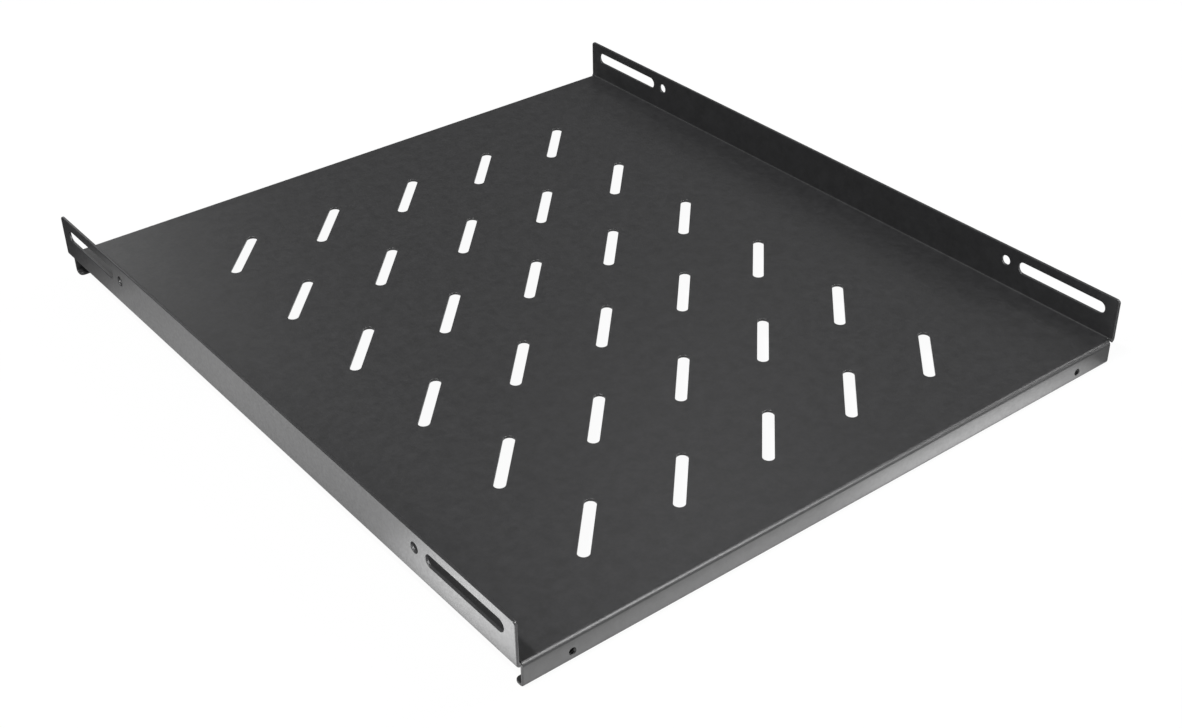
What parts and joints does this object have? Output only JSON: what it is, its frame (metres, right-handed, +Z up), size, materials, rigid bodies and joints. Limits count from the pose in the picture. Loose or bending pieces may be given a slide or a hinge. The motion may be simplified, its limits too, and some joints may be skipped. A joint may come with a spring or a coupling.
{
  "type": "rack shelf",
  "caption": "Fixed rack shelf folded from black sheet steel: a flat pan with slanted vent slots, upturned side flanges slotted for bolting to rack posts, and down-turned end lips.",
  "frame": {"origin": "on the surface that the shelf stands on, at the middle of its width and depth, level with the underside of the lip returns", "axes": "+X across the rack to the right of someone facing the front lip, +Y from the front lip to the rear lip, +Z up out of the pan's upper face"},
  "size_m": [0.485, 0.55, 0.0475],
  "materials": {
    "powder_coat": "fine-textured semi-matt black powder coat on steel"
  },
  "bodies": {
    "root": {"shelf": "powder_coat"}
  },
  "joints": []
}
